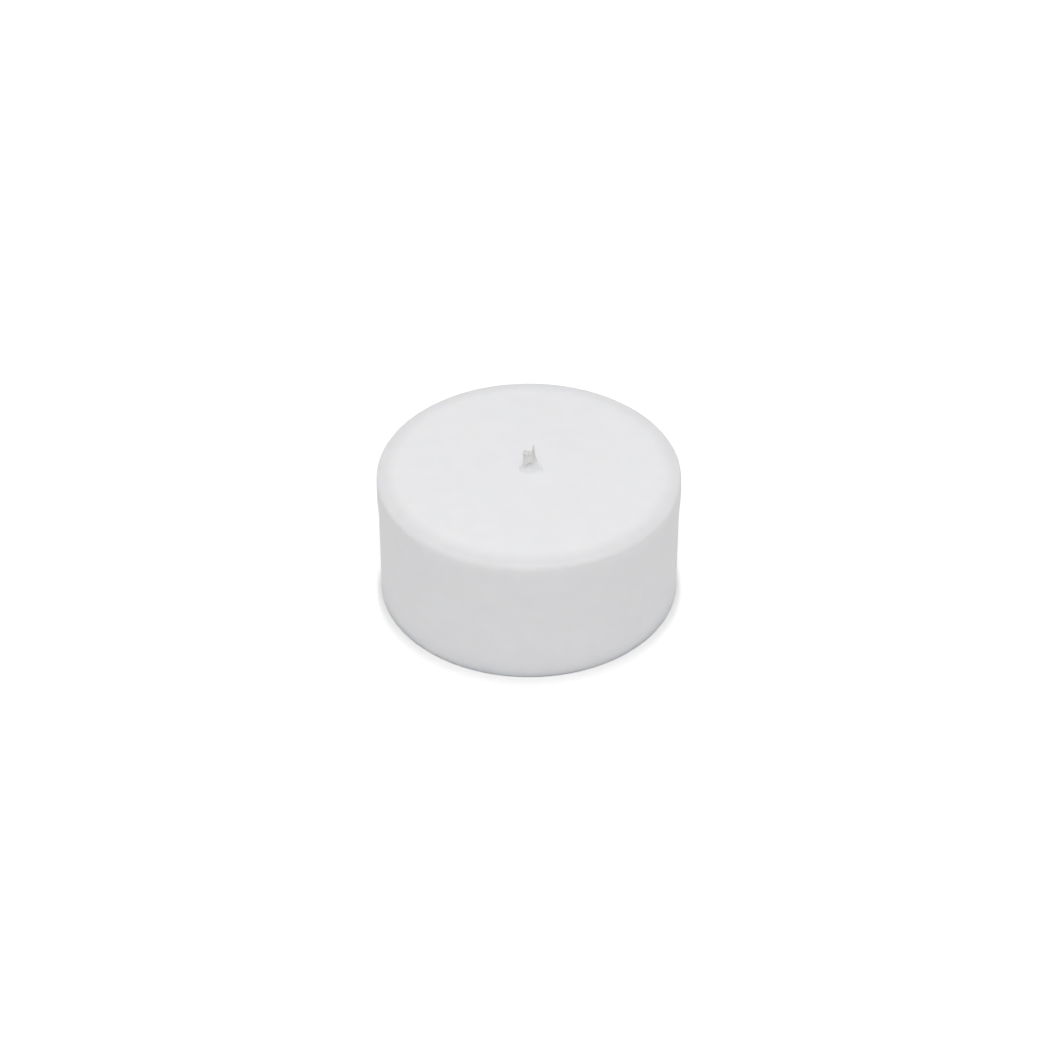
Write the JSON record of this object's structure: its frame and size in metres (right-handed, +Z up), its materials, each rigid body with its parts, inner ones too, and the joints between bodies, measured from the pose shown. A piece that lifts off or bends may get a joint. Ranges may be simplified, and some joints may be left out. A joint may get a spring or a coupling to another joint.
{
  "type": "candle refill",
  "caption": "Round refill of white wax with a short plaited wick, which drops into a lantern or candle holder and stands on its flat foot.",
  "frame": {"origin": "centre of the flat foot, on the surface that the refill stands on", "axes": "+Z up along the axis of the wax and its wick; +X to the right and -Y towards the viewer of the picture; the flats of the wick face +Y and -Y"},
  "size_m": [0.06, 0.06, 0.0342],
  "materials": {
    "wax": "smooth moulded white wax, soft sheen",
    "cotton": "plaited cotton soaked in wax",
    "tin_plate": "bright tin plate, stamped"
  },
  "bodies": {
    "root": {"wax_body": "wax", "wick": "cotton", "wick_sustainer": "tin_plate"}
  },
  "joints": []
}
